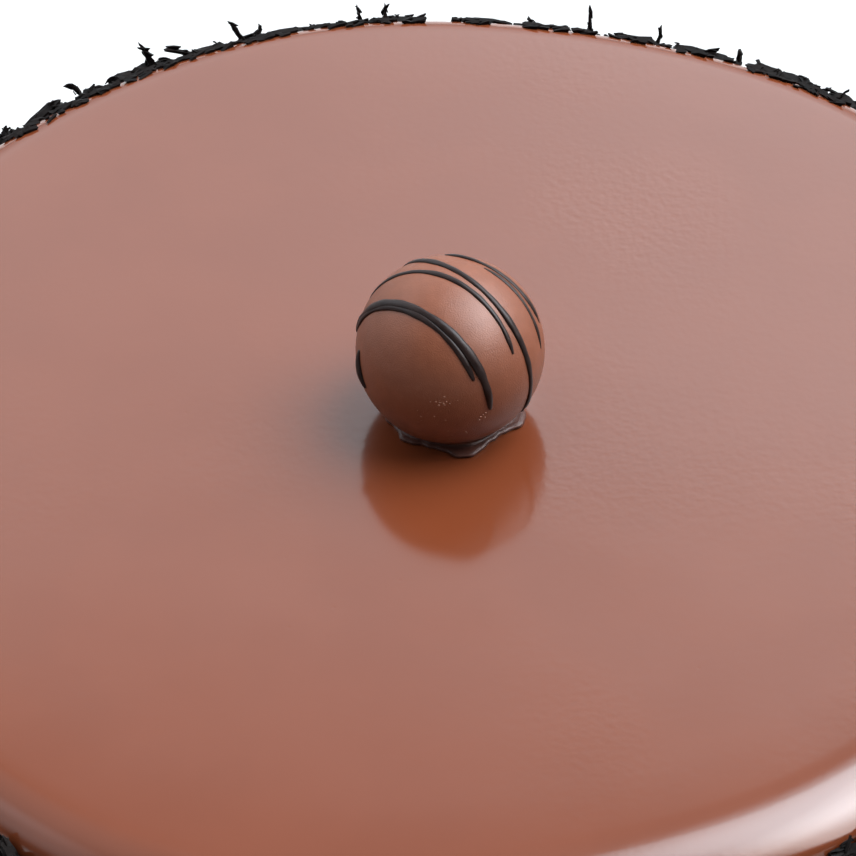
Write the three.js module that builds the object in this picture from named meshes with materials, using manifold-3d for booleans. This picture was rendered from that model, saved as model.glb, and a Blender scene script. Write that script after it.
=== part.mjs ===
// An eight inch chocolate fudge cake under poured milk chocolate icing. Dark chocolate
// shavings are pressed onto its side, and one drizzled truffle sits in the middle of its top.
//
// Millimetres, +Z up. The origin is the middle of the flat base, and -Y is the front.
// The cake and its shavings are one solid, and so are the truffle, its foot and its drizzle.

import * as THREE from "three";
import { mergeVertices } from "three/addons/utils/BufferGeometryUtils.js";
import Module from "manifold-3d";

const wasm = await Module();
wasm.setup();

const radians = THREE.MathUtils.degToRad;
const mix = THREE.MathUtils.lerp;

// ---------------------------------------------------------------- driving dimensions

const CAKE = {
  radius: 101.5, // to the iced wall
  height: 60, // to the flat of the icing
  shoulder: 8, // radius of the rounded top edge
  baseEase: 1.6, // radius of the bottom edge
  segments: 64,
  shoulderSteps: 5,
  baseSteps: 2,
};

// The hand-iced wall isn't quite round: [lobes round the cake, share of the radius, degrees].
// The lone lobe is icing that ran out further to one side.
const OUT_OF_ROUND = [
  [1, 0.0139, 201.4],
  [2, 0.0041, 44.3],
  [3, 0.0142, 4.2],
  [4, 0.0061, 44.3],
  [5, 0.0034, 14.7],
  [7, 0.0047, 49.9],
];

const SHAVINGS = {
  sunk: 0.4, // depth of the foot end's inner face in the icing
  seed: 20,
  floorGap: 1.3, // clear height under the lowest edge
};

// The shavings laid over the whole wall, one in each cell of an even grid.
const WALL_ROWS = {
  rows: 5,
  columns: 52,
  lowest: 1.5, // heights of the grid's edges
  highest: 54,
  length: [6.2, 10.6],
  width: [0.24, 0.4], // as a share of the length
  thickness: [0.8, 1.6],
  tipShare: [0.45, 1], // the free end's width as a share of the foot end's
  skew: 0.6, // how askew the ends are cut, at most
  turn: 80, // degrees from level, at most
  lean: 17, // degrees out of the wall, at most
  stray: 0.3, // from the middle of a cell, as a share of it, at most
};

// The ragged row that ends them under the rounded edge, where none is placed by hand.
const EDGE_ROW = {
  from: 136, // azimuths in degrees
  to: 407,
  count: 64,
  lowest: 53, // heights of their foot ends
  highest: 54.8,
  length: [4.2, 8.4],
  width: [0.8, 1.7],
  thickness: [1.2, 2.3],
  rise: [-14, 16], // degrees above level
  standOff: 0.35, // of the free end's inner face
  uprightShare: 0.28,
  uprightLength: [3.4, 5.6],
  uprightWidth: [0.7, 1.2],
  uprightThickness: [0.8, 1],
  uprightRise: [48, 88],
  uprightStandOff: 1.4,
};

// The hand-placed ones of that row: the foot end's azimuth and height, the free end's azimuth,
// height and stand-off from the wall, the width, and the thickness.
const EDGE_SHAVINGS = [
  [134.9, 54.4, 134.2, 56.2, 1.2, 1.0, 0.9],
  [135.3, 54.6, 133.6, 54.3, 0.5, 1.3, 1.6],
  [132.4, 54.2, 128.7, 55.8, 0.5, 1.6, 1.8],
  [128.9, 56.0, 127.4, 54.2, 0.6, 0.9, 1.7],
  [125.4, 54.6, 126.5, 56.9, 1.5, 0.8, 0.8],
  [126.3, 54.6, 124.7, 55.2, 0.5, 1.2, 1.8],
  [125.6, 54.7, 123.8, 53.9, 0.5, 1.2, 1.8],
  [122.5, 55.3, 120.1, 54.4, 0.3, 2.0, 2.2],
  [120.2, 55.5, 116.3, 54.5, 0.4, 1.6, 2.1],
  [118.2, 54.4, 118.9, 58.6, 1.3, 1.5, 1.0],
  [113.6, 55.0, 116.9, 57.4, 1.4, 0.8, 0.8],
  [114.1, 55.1, 110.8, 54.2, 0.3, 1.6, 2.2],
  [109.0, 54.6, 110.3, 58.9, 1.3, 0.8, 0.8],
  [109.6, 55.2, 107.0, 54.1, 0.4, 1.4, 2.0],
  [108.5, 54.8, 107.4, 56.6, 1.2, 0.7, 0.8],
  [107.0, 55.0, 102.6, 54.2, 0.3, 1.3, 2.2],
  [102.5, 54.7, 97.6, 54.2, 0.2, 1.0, 2.1],
  [97.9, 54.6, 98.2, 57.5, 1.4, 0.7, 0.7],
  [97.1, 55.0, 95.2, 54.4, 0.3, 1.3, 2.0],
  [96.0, 54.7, 95.6, 57.3, 1.5, 0.8, 0.8],
  [94.6, 55.4, 92.4, 54.4, 0.3, 1.2, 2.0],
  [89.2, 54.7, 87.4, 54.2, 0.3, 1.0, 2.1],
  [87.6, 55.1, 84.2, 54.1, 0.3, 1.4, 2.1],
  [81.0, 54.3, 81.9, 55.6, 1.2, 1.0, 1.0],
  [80.5, 54.5, 78.0, 54.3, 0.4, 1.5, 2.0],
  [75.9, 54.4, 76.1, 58.6, 1.6, 0.8, 0.8],
  [76.6, 54.5, 75.3, 54.5, 0.5, 1.0, 1.5],
  [73.5, 54.8, 69.6, 54.5, 0.3, 1.5, 2.2],
  [69.3, 54.4, 69.1, 57.0, 1.4, 0.8, 0.8],
  [67.6, 54.6, 62.3, 54.3, 0.3, 1.8, 2.3],
  [60.9, 54.2, 61.1, 57.4, 1.3, 1.0, 0.9],
  [59.3, 55.1, 56.6, 54.5, 0.3, 1.4, 2.2],
  [56.6, 54.9, 53.6, 54.7, 0.3, 1.8, 2.2],
  [53.6, 54.4, 51.9, 54.0, 0.3, 1.0, 2.0],
  [51.4, 54.4, 49.9, 55.4, 0.4, 1.4, 2.0],
  [50.1, 55.2, 48.2, 53.9, 0.4, 1.3, 2.0],
  [-60.3, 53.4, -57.2, 54.0, 0.6, 2.6, 1.6],
  [-126.6, 54.2, -123.9, 55.6, -0.1, 1.3, 1.3],
  [-127.4, 53.9, -128.6, 56.4, -0.5, 1.6, 1.4],
];

// A free end that stands off further than this is a narrow one.
const EDGE_TIP = { standOff: 0.9, narrow: 0.45, wide: 0.8, skew: 0.4 };

const TRUFFLE = {
  radius: 14.25,
  centreHeight: 11.83, // above the icing: the ball is flat underneath
  offset: new THREE.Vector2(-0.7, 0.4), // from the middle of the cake
  footRadius: 9.75,
  footThickness: 0.8,
  waistAngle: -48, // degrees of latitude where the foot meets the ball
  segments: 32,
  ballSteps: 9,
  restGap: 0.2, // between its flat underside and the icing
};

// Where the soft shell ran out into the foot: [azimuth, reach in millimetres, half spread].
const FOOT_LOBES = [
  [342, 2.0, 20],
  [288, 1.7, 13],
  [272, 1.3, 10],
  [226, 0.8, 14],
  [172, 1.6, 22],
  [108, 1.2, 24],
  [48, 1.7, 18],
];

// The drizzle was trailed to and fro in straight lines, so each strand lies in an upright plane.
const TRAIL = {
  normal: 51, // azimuth of the planes' common normal
  beadHeight: 0.66, // how far a strand stands off the ball, as a share of its half width
  sunk: 0.3,
  step: 15, // degrees of sweep
  tipLength: 15, // degrees over which an end tapers
  tipShare: 0.3, // an end's width as a share of the full one
};

// The plane's offset from the ball's middle, as a share of the radius, at the back end, the
// middle and the front end, the sweep in degrees from the crown, and the half width.
const STRANDS = [
  { offset: [-0.5, -0.478, -0.458], sweep: [-79, 92], halfWidth: 0.7 },
  { offset: [-0.535, -0.522, -0.55], sweep: [-74, 64], halfWidth: 0.5 },
  { offset: [-0.9, -0.84, -0.77], sweep: [-106, -70], halfWidth: 0.9 },
  { offset: [-0.25, 0.005, -0.055], sweep: [-62, 63], halfWidth: 0.45 },
  { offset: [0.2, 0.122, 0.095], sweep: [-50, 119], halfWidth: 0.52 },
  { offset: [0.42, 0.568, 0.605], sweep: [-24, 66], halfWidth: 0.5 },
  { offset: [0.45, 0.497, 0.415], sweep: [8, 78], halfWidth: 0.4 },
];

const MILK_ICING = new THREE.MeshStandardMaterial({
  color: 0x93543c,
  roughness: 0.2,
  metalness: 0,
});
const TRUFFLE_COATING = new THREE.MeshStandardMaterial({
  color: 0x9a6148,
  roughness: 0.45,
  metalness: 0,
});

// ---------------------------------------------------------------- helpers

// A stream of even draws from 0 to 1.
function drawsFrom(seed) {
  let state = seed >>> 0;
  return (low = 0, high = 1) => {
    state = (state + 0x6d2b79f5) >>> 0;
    let t = Math.imul(state ^ (state >>> 15), state | 1);
    t = (t + Math.imul(t ^ (t >>> 7), t | 61)) ^ t;
    return mix(low, high, ((t ^ (t >>> 14)) >>> 0) / 4294967296);
  };
}

// A point at an azimuth in degrees, a distance from the cake's axis and a height.
function around(azimuth, distance, height) {
  return new THREE.Vector3(
    distance * Math.cos(radians(azimuth)),
    distance * Math.sin(radians(azimuth)),
    height,
  );
}

function asSolid(geometry) {
  const bare = geometry.clone();
  bare.deleteAttribute("normal");
  bare.deleteAttribute("uv");
  const merged = mergeVertices(bare, 1e-4);
  return new wasm.Manifold(
    new wasm.Mesh({
      numProp: 3,
      vertProperties: new Float32Array(merged.attributes.position.array),
      triVerts: new Uint32Array(merged.index.array),
    }),
  );
}

function asGeometry(solid) {
  const mesh = solid.getMesh();
  const geometry = new THREE.BufferGeometry()
    .setAttribute("position", new THREE.BufferAttribute(mesh.vertProperties, 3))
    .setIndex(new THREE.BufferAttribute(mesh.triVerts, 1));
  geometry.computeVertexNormals();
  return geometry;
}

// Joins pieces onto a body, fills what the joining seals off, and drops loose scraps.
function fuse(body, pieces) {
  const solids = [body, ...pieces].map(asSolid);
  const joined = solids.reduce((sum, solid) => sum.add(solid));
  const largest = joined.decompose().reduce((a, b) => (b.volume() > a.volume() ? b : a));
  return asGeometry(largest);
}

// A closed skin over rings of equal count, which turn right-handed about their path.
function loft(rings) {
  const count = rings[0].length;
  const last = (rings.length - 1) * count;
  const index = [];
  for (let start = 0; start < last; start += count) {
    for (let i = 0; i < count; i++) {
      const a = start + i;
      const b = start + ((i + 1) % count);
      index.push(a, b, b + count, a, b + count, a + count);
    }
  }
  for (let i = 1; i < count - 1; i++) {
    index.push(0, i + 1, i, last, last + i, last + i + 1);
  }
  return new THREE.BufferGeometry().setFromPoints(rings.flat()).setIndex(index);
}

// A solid of revolution about +Z, whose radius is then scaled by grow(azimuth, height).
function turned(profile, segments, grow) {
  const geometry = new THREE.LatheGeometry(profile, segments);
  geometry.rotateX(Math.PI / 2);
  const position = geometry.attributes.position;
  for (let i = 0; i < position.count; i++) {
    const [x, y, z] = [position.getX(i), position.getY(i), position.getZ(i)];
    const scale = grow(THREE.MathUtils.radToDeg(Math.atan2(y, x)), z);
    position.setXYZ(i, x * scale, y * scale, z);
  }
  return geometry;
}

// Points of an arc in a profile, from one angle to another, both in degrees.
function arc(centreRadius, centreHeight, radius, from, to, steps) {
  return Array.from({ length: steps + 1 }, (_, i) => {
    const angle = radians(mix(from, to, i / steps));
    return new THREE.Vector2(
      Math.max(0, centreRadius + radius * Math.cos(angle)),
      centreHeight + radius * Math.sin(angle),
    );
  });
}

// ---------------------------------------------------------------- iced cake

function roundness(azimuth) {
  return OUT_OF_ROUND.reduce(
    (sum, [lobes, amount, turn]) => sum + amount * Math.cos(radians(lobes * (azimuth - turn))),
    1,
  );
}

function wallRadius(azimuth) {
  return CAKE.radius * roundness(azimuth);
}

function icedCake() {
  const { radius, height, shoulder, baseEase } = CAKE;
  const profile = [
    new THREE.Vector2(0, 0),
    ...arc(radius - baseEase, baseEase, baseEase, -90, 0, CAKE.baseSteps),
    ...arc(radius - shoulder, height - shoulder, shoulder, 0, 90, CAKE.shoulderSteps),
    new THREE.Vector2(0, height),
  ];
  return turned(profile, CAKE.segments, roundness);
}

// ---------------------------------------------------------------- dark chocolate shavings

// A slab from its foot end to its free end, which is narrower, and whose ends are cut askew.
// Its inner face holds both points, and its thickness is measured outwards.
function shaving({ foot, tip, width, thickness, tipShare, skew }) {
  const along = tip.clone().sub(foot).normalize();
  const outward = new THREE.Vector3(foot.x, foot.y, 0).normalize();
  const across = new THREE.Vector3().crossVectors(outward, along).normalize();
  const proud = new THREE.Vector3().crossVectors(along, across);
  const ring = (middle, half, slant) =>
    [
      [-half, 0],
      [half, 0],
      [half, thickness],
      [-half, thickness],
    ].map(([a, t]) =>
      middle
        .clone()
        .addScaledVector(across, a)
        .addScaledVector(proud, t)
        .addScaledVector(along, Math.sign(a) * slant),
    );
  const half = width / 2;
  return loft([ring(foot, half, -skew * half), ring(tip, half * tipShare, skew * half)]);
}

// A shaving that lies at a place on the wall, turned from level and leaning out of it.
function wallShaving(index) {
  const grid = WALL_ROWS;
  const draw = drawsFrom(SHAVINGS.seed + 7919 * index);
  const row = Math.floor(index / grid.columns);
  const column = (index % grid.columns) + 0.5 * (row % 2);
  const length = draw(...grid.length);
  const width = length * draw(...grid.width);
  const turn = radians(grid.turn) * draw(-1, 1);
  const lean = radians(grid.lean) * draw();
  const azimuth = (360 * (column + draw(-grid.stray, grid.stray))) / grid.columns;
  const rise = (row + 0.5 + draw(-grid.stray, grid.stray)) / grid.rows;
  const height = mix(grid.lowest, grid.highest, rise);
  const reach = (length * Math.abs(Math.sin(turn)) + width * Math.cos(turn)) / 2;
  const lowest = reach + SHAVINGS.floorGap;
  const highest = grid.highest - reach;
  const middle = around(
    azimuth,
    wallRadius(azimuth) - SHAVINGS.sunk,
    THREE.MathUtils.clamp(height, lowest, highest),
  );
  const level = around(azimuth + (draw() < 0.5 ? 90 : -90), 1, 0);
  const foot = middle.clone().addScaledVector(level, (-length / 2) * Math.cos(turn));
  const tip = middle.clone().addScaledVector(level, (length / 2) * Math.cos(turn));
  foot.z -= (length / 2) * Math.sin(turn);
  tip.z += (length / 2) * Math.sin(turn);
  tip.addScaledVector(around(azimuth, 1, 0), length * Math.sin(lean));
  return shaving({
    foot,
    tip,
    width,
    thickness: draw(...grid.thickness),
    tipShare: draw(...grid.tipShare),
    skew: draw(-grid.skew, grid.skew),
  });
}

// A shaving of the row under the rounded edge, between two places on the wall.
function edgeShaving([footAzimuth, footHeight, tipAzimuth, tipHeight, standOff, width, thickness]) {
  return shaving({
    foot: around(footAzimuth, wallRadius(footAzimuth) - SHAVINGS.sunk, footHeight),
    tip: around(tipAzimuth, wallRadius(tipAzimuth) + standOff, tipHeight),
    width,
    thickness,
    tipShare: standOff > EDGE_TIP.standOff ? EDGE_TIP.narrow : EDGE_TIP.wide,
    skew: EDGE_TIP.skew * Math.sign(footAzimuth - tipAzimuth),
  });
}

function drawnEdgeShaving(index) {
  const row = EDGE_ROW;
  const draw = drawsFrom(SHAVINGS.seed + 104729 * (index + 1));
  const azimuth = mix(row.from, row.to, (index + draw(0.15, 0.85)) / row.count);
  const height = draw(row.lowest, row.highest);
  const side = draw() < 0.5 ? 1 : -1;
  const isUpright = draw() < row.uprightShare;
  const length = draw(...(isUpright ? row.uprightLength : row.length));
  const rise = radians(draw(...(isUpright ? row.uprightRise : row.rise)));
  const run = THREE.MathUtils.radToDeg(length * Math.cos(rise)) / CAKE.radius;
  return edgeShaving([
    azimuth,
    height,
    azimuth + side * run,
    height + length * Math.sin(rise),
    isUpright ? row.uprightStandOff : row.standOff,
    draw(...(isUpright ? row.uprightWidth : row.width)),
    draw(...(isUpright ? row.uprightThickness : row.thickness)),
  ]);
}

function dressedCake() {
  const shavings = [
    ...EDGE_SHAVINGS.map(edgeShaving),
    ...Array.from({ length: EDGE_ROW.count }, (_, i) => drawnEdgeShaving(i)),
    ...Array.from({ length: WALL_ROWS.rows * WALL_ROWS.columns }, (_, i) => wallShaving(i)),
  ];
  return fuse(icedCake(), shavings);
}

// ---------------------------------------------------------------- drizzled truffle

function footReach(azimuth) {
  return FOOT_LOBES.reduce((sum, [middle, reach, halfSpread]) => {
    const away = THREE.MathUtils.euclideanModulo(azimuth - middle + 180, 360) - 180;
    return sum + reach * Math.exp(-((away / halfSpread) ** 2));
  }, 0);
}

// The ball with its flat underside, and the wavy foot that the coating ran out to.
function coatedBall() {
  const { radius, centreHeight, footRadius, footThickness, waistAngle } = TRUFFLE;
  const profile = [
    new THREE.Vector2(0, 0),
    new THREE.Vector2(footRadius - 0.5, 0),
    new THREE.Vector2(footRadius, 0.3 * footThickness),
    new THREE.Vector2(footRadius - 0.3, footThickness),
    ...arc(0, centreHeight, radius, waistAngle, 90, TRUFFLE.ballSteps),
  ];
  const fade = 2.2 * footThickness;
  return turned(profile, TRUFFLE.segments, (azimuth, z) => {
    const low = THREE.MathUtils.clamp(1 - z / fade, 0, 1);
    return 1 + (footReach(azimuth) / footRadius) * Math.min(1, 1.8 * low);
  });
}

// A value that runs smoothly through its start, middle and end as t goes from 0 to 1.
function through([start, middle, end], t) {
  return start * (1 - t) * (1 - 2 * t) + 4 * middle * t * (1 - t) + end * t * (2 * t - 1);
}

function strand({ offset, sweep, halfWidth }) {
  const { radius, centreHeight } = TRUFFLE;
  const normal = around(TRAIL.normal, 1, 0);
  const forward = around(TRAIL.normal - 90, 1, 0);
  const centre = new THREE.Vector3(0, 0, centreHeight);
  const steps = Math.round((sweep[1] - sweep[0]) / TRAIL.step);
  const directions = Array.from({ length: steps + 1 }, (_, i) => {
    const angle = radians(mix(...sweep, i / steps));
    const d = through(offset, i / steps);
    const rest = Math.sqrt(1 - d * d);
    return normal
      .clone()
      .multiplyScalar(d)
      .addScaledVector(forward, rest * Math.sin(angle))
      .add(new THREE.Vector3(0, 0, rest * Math.cos(angle)));
  });
  const rings = directions.map((up, i) => {
    const before = directions[Math.max(0, i - 1)];
    const after = directions[Math.min(steps, i + 1)];
    const side = after.clone().sub(before).cross(up).normalize();
    const fromEnd = (Math.min(i, steps - i) * (sweep[1] - sweep[0])) / steps;
    const taper = mix(TRAIL.tipShare, 1, THREE.MathUtils.smoothstep(fromEnd, 0, TRAIL.tipLength));
    const half = halfWidth * taper;
    const top = half * TRAIL.beadHeight;
    return [
      [-TRAIL.sunk, -half],
      [0.6 * top, -0.75 * half],
      [top, 0],
      [0.6 * top, 0.75 * half],
      [-TRAIL.sunk, half],
    ].map(([proud, across]) =>
      centre
        .clone()
        .addScaledVector(up, radius + proud)
        .addScaledVector(side, across),
    );
  });
  return loft(rings);
}

function drizzledTruffle() {
  const geometry = fuse(coatedBall(), STRANDS.map(strand));
  geometry.translate(TRUFFLE.offset.x, TRUFFLE.offset.y, CAKE.height + TRUFFLE.restGap);
  return geometry;
}

// ---------------------------------------------------------------- assembly

function named(name, geometry, material) {
  const mesh = new THREE.Mesh(geometry, material);
  mesh.name = name;
  return mesh;
}

const fudgeCake = new THREE.Group();
fudgeCake.add(
  named("cake", dressedCake(), MILK_ICING),
  named("truffle", drizzledTruffle(), TRUFFLE_COATING),
);

export default fudgeCake;
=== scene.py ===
"""A chocolate fudge cake under poured milk chocolate icing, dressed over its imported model.

Dark chocolate shavings cover the side, and one drizzled truffle sits in the middle of the
top. The icing and the shavings stand for the node "cake", and the truffle's pieces for the
node "truffle". Lengths are in metres, +Z is up and -Y is the front.
"""

import logging
import math
from dataclasses import dataclass
from enum import Enum
from typing import Callable, Sequence

import bpy
import numpy as np
from mathutils import Matrix, Vector


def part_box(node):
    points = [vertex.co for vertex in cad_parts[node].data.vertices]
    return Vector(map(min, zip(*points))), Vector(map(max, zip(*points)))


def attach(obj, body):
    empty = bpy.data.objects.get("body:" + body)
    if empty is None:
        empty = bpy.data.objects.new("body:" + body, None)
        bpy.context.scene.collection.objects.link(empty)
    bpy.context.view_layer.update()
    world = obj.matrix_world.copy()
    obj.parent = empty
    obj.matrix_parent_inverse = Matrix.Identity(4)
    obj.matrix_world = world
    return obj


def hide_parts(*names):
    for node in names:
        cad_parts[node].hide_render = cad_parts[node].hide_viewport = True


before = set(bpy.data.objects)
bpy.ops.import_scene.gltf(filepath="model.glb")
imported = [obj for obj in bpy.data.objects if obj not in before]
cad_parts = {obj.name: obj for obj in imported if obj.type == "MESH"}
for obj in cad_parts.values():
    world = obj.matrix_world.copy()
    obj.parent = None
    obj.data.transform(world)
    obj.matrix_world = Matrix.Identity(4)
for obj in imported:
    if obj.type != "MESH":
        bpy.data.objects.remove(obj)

LOG = logging.getLogger("fudge_cake")

MM = 0.001
Colour = tuple[float, float, float, float]


def rgb(red: float, green: float, blue: float) -> Colour:
    """An opaque colour from its linear red, green and blue."""
    return (red, green, blue, 1.0)


# ------------------------------------------------------------------ geometry helpers


class Draws:
    """The stream of even draws that places the large shavings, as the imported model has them."""

    STEP = 0x6D2B79F5
    MASK = 0xFFFFFFFF

    def __init__(self, seed: int) -> None:
        """Starts the stream.

        Args:
            seed: Any whole number of 0 or more.
        """
        self.state = seed & self.MASK

    def __call__(self, low: float = 0.0, high: float = 1.0) -> float:
        """The next draw.

        Args:
            low: What a draw of 0 gives.
            high: What a draw of 1 would give.

        Returns:
            A number from low to high.
        """
        self.state = (self.state + self.STEP) & self.MASK
        t = self.state
        t = ((t ^ (t >> 15)) * (t | 1)) & self.MASK
        t ^= (t + (((t ^ (t >> 7)) * (t | 61)) & self.MASK)) & self.MASK
        return low + (high - low) * ((t ^ (t >> 14)) & self.MASK) / (self.MASK + 1)


def around(azimuth: np.ndarray, distance: np.ndarray, height: np.ndarray) -> np.ndarray:
    """Points round the cake's axis.

    Args:
        azimuth: Degrees from +X.
        distance: Metres from the axis.
        height: Metres above the base.

    Returns:
        The points, with their coordinates along the last axis.
    """
    turn = np.radians(azimuth)
    parts = np.broadcast_arrays(distance * np.cos(turn), distance * np.sin(turn), height)
    return np.stack(parts, axis=-1)


def towards(azimuth: float, elevation: float) -> Vector:
    """A direction seen from the cake.

    Args:
        azimuth: Degrees from +X.
        elevation: Degrees above level.

    Returns:
        A vector with a length of 1.
    """
    turn, rise = math.radians(azimuth), math.radians(elevation)
    level = math.cos(rise)
    return Vector((level * math.cos(turn), level * math.sin(turn), math.sin(rise)))


def unit(vectors: np.ndarray) -> np.ndarray:
    """The same vectors with a length of 1."""
    return vectors / np.linalg.norm(vectors, axis=-1, keepdims=True)


def smooth(value: np.ndarray, low: float, high: float) -> np.ndarray:
    """Rises smoothly from 0 at low to 1 at high."""
    t = np.clip((value - low) / (high - low), 0.0, 1.0)
    return t * t * (3.0 - 2.0 * t)


def arc(
    centre: tuple[float, float], radius: float, start: float, end: float, steps: int
) -> np.ndarray:
    """Points of an arc in a profile.

    Args:
        centre: Distance from the axis, and height.
        radius: The arc's radius.
        start: Degrees above level, seen from the arc's centre.
        end: The same at the other end.
        steps: How many steps lie between them.

    Returns:
        One row of distance and height for each point.
    """
    turn = np.radians(np.linspace(start, end, steps + 1))
    return np.column_stack((centre[0] + radius * np.cos(turn), centre[1] + radius * np.sin(turn)))


def new_piece(
    name: str, points: np.ndarray, faces: list, is_smooth: bool = True
) -> bpy.types.Object:
    """Makes a mesh object at the origin and puts it in the scene.

    Args:
        name: The piece's name.
        points: One row for each corner, in metres.
        faces: The corners of each face.
        is_smooth: Whether the faces are shaded as one round surface.

    Returns:
        The new object.
    """
    mesh = bpy.data.meshes.new(name)
    mesh.from_pydata(points.reshape(-1, 3).tolist(), [], faces)
    mesh.validate()
    if is_smooth:
        mesh.shade_smooth()
    else:
        mesh.shade_flat()
    piece = bpy.data.objects.new(name, mesh)
    bpy.context.scene.collection.objects.link(piece)
    return piece


def skin_faces(rings: int, count: int) -> list[tuple[int, ...]]:
    """Faces of a tube of rings, closed round each ring and at both ends.

    Args:
        rings: How many rings there are.
        count: How many points each has.

    Returns:
        The corners of each face, turned outwards where the rings turn right-handed.
    """
    faces = []
    for ring in range(rings - 1):
        low, high = ring * count, (ring + 1) * count
        for i in range(count):
            j = (i + 1) % count
            faces.append((low + i, low + j, high + j, high + i))
    last = (rings - 1) * count
    return [*faces, tuple(range(count - 1, -1, -1)), tuple(range(last, last + count))]


def turned_piece(
    name: str,
    profile: np.ndarray,
    segments: int,
    shape: Callable[[np.ndarray, np.ndarray, np.ndarray], tuple[np.ndarray, np.ndarray]],
) -> bpy.types.Object:
    """A body turned about a vertical axis, whose profile is then shaped round the axis.

    Args:
        name: The piece's name.
        profile: Rows of distance and height, from the underside's middle to the top's.
        segments: How many steps lie round the axis.
        shape: Gives new distances and heights from azimuths in degrees, distances and heights.

    Returns:
        The new object. Its first and last rings close on the axis.
    """
    azimuth = np.arange(segments) * 360.0 / segments
    azimuth, distance = np.meshgrid(azimuth, profile[1:-1, 0])
    height = np.repeat(profile[1:-1, 1:2], segments, axis=1)
    distance, height = shape(azimuth, distance, height)
    rings = around(azimuth, distance, height)
    ends = np.array([(0.0, 0.0, profile[0, 1]), (0.0, 0.0, profile[-1, 1])])
    points = np.vstack((rings.reshape(-1, 3), ends))
    count = len(rings)
    faces = skin_faces(count, segments)[:-2]
    below, above = count * segments, count * segments + 1
    last = (count - 1) * segments
    for i in range(segments):
        j = (i + 1) % segments
        faces.append((below, j, i))
        faces.append((above, last + i, last + j))
    return new_piece(name, points, faces)


# ------------------------------------------------------------------ shader helpers


class Wiring:
    """Adds nodes to one node tree and joins them."""

    def __init__(self, tree: bpy.types.NodeTree) -> None:
        """Takes over an empty tree.

        Args:
            tree: The tree that the nodes go into.
        """
        self.tree = tree

    def add(self, kind: str, **settings: object) -> bpy.types.Node:
        """A new node.

        Args:
            kind: Blender's name for this kind of node.
            settings: The node's own settings, by name.

        Returns:
            The node.
        """
        node = self.tree.nodes.new(kind)
        for name, value in settings.items():
            setattr(node, name, value)
        return node

    def join(self, source: bpy.types.NodeSocket, target: bpy.types.NodeSocket) -> None:
        """Feeds one socket from another."""
        self.tree.links.new(source, target)

    def noise(
        self, scale: float, detail: float = 2.0, place: bpy.types.NodeSocket | None = None
    ) -> bpy.types.NodeSocket:
        """A noise texture in the object's own coordinates.

        Args:
            scale: Lumps to the metre.
            detail: How many finer layers it has.
            place: Other coordinates, if not the object's own.

        Returns:
            The noise, from 0 to 1.
        """
        node = self.add("ShaderNodeTexNoise")
        node.inputs["Scale"].default_value = scale
        node.inputs["Detail"].default_value = detail
        self.join(place or self.add("ShaderNodeTexCoord").outputs["Object"], node.inputs["Vector"])
        return node.outputs["Fac"]

    def remap(
        self, value: bpy.types.NodeSocket, span: tuple[float, float], onto: tuple[float, float]
    ) -> bpy.types.NodeSocket:
        """Maps one range smoothly onto another.

        Args:
            value: The value to map.
            span: The ends of the range that it comes from.
            onto: What those ends become.

        Returns:
            The mapped value.
        """
        node = self.add("ShaderNodeMapRange", interpolation_type="SMOOTHSTEP")
        ends = ("From Min", "From Max", "To Min", "To Max")
        for name, number in zip(ends, (*span, *onto)):
            node.inputs[name].default_value = number
        self.join(value, node.inputs["Value"])
        return node.outputs["Result"]

    def maths(
        self, operation: str, first: bpy.types.NodeSocket, second: bpy.types.NodeSocket | float
    ) -> bpy.types.NodeSocket:
        """One sum on two values.

        Args:
            operation: Blender's name for the sum.
            first: The first value.
            second: The second value or a plain number.

        Returns:
            The answer.
        """
        node = self.add("ShaderNodeMath", operation=operation)
        self.join(first, node.inputs[0])
        if isinstance(second, float):
            node.inputs[1].default_value = second
        else:
            self.join(second, node.inputs[1])
        return node.outputs["Value"]

    def tint(
        self,
        share: bpy.types.NodeSocket,
        start: bpy.types.NodeSocket | Colour,
        end: bpy.types.NodeSocket | Colour,
    ) -> bpy.types.NodeSocket:
        """Mixes two colours.

        Args:
            share: How much of the second colour there is.
            start: The first colour.
            end: The second colour.

        Returns:
            The mixed colour.
        """
        node = self.add("ShaderNodeMix", data_type="RGBA")
        self.join(share, node.inputs["Factor"])
        for name, colour in (("A", start), ("B", end)):
            socket = next(s for s in node.inputs if s.name == name and s.type == "RGBA")
            if isinstance(colour, tuple):
                socket.default_value = colour
            else:
                self.join(colour, socket)
        return next(s for s in node.outputs if s.type == "RGBA")

    def relief(
        self, height: bpy.types.NodeSocket, depth: float, under: bpy.types.NodeSocket | None = None
    ) -> bpy.types.NodeSocket:
        """Turns a height into a normal.

        Args:
            height: The relief, from 0 to 1.
            depth: How deep it is in metres.
            under: A normal that it's laid over.

        Returns:
            The normal.
        """
        node = self.add("ShaderNodeBump")
        node.inputs["Distance"].default_value = depth
        self.join(height, node.inputs["Height"])
        if under is not None:
            self.join(under, node.inputs["Normal"])
        return node.outputs["Normal"]


# The mottle's noises, each with its lumps to the scaled unit and its finer layers, then how
# densely its pits lie and how wide they are.
MOTTLE_NOISES = {"Patches": (1.0, 3.0), "Grain": (9.0, 2.0)}
PIT_DENSITY = 2.2
PIT_EDGE = (0.0, 0.05)


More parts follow.
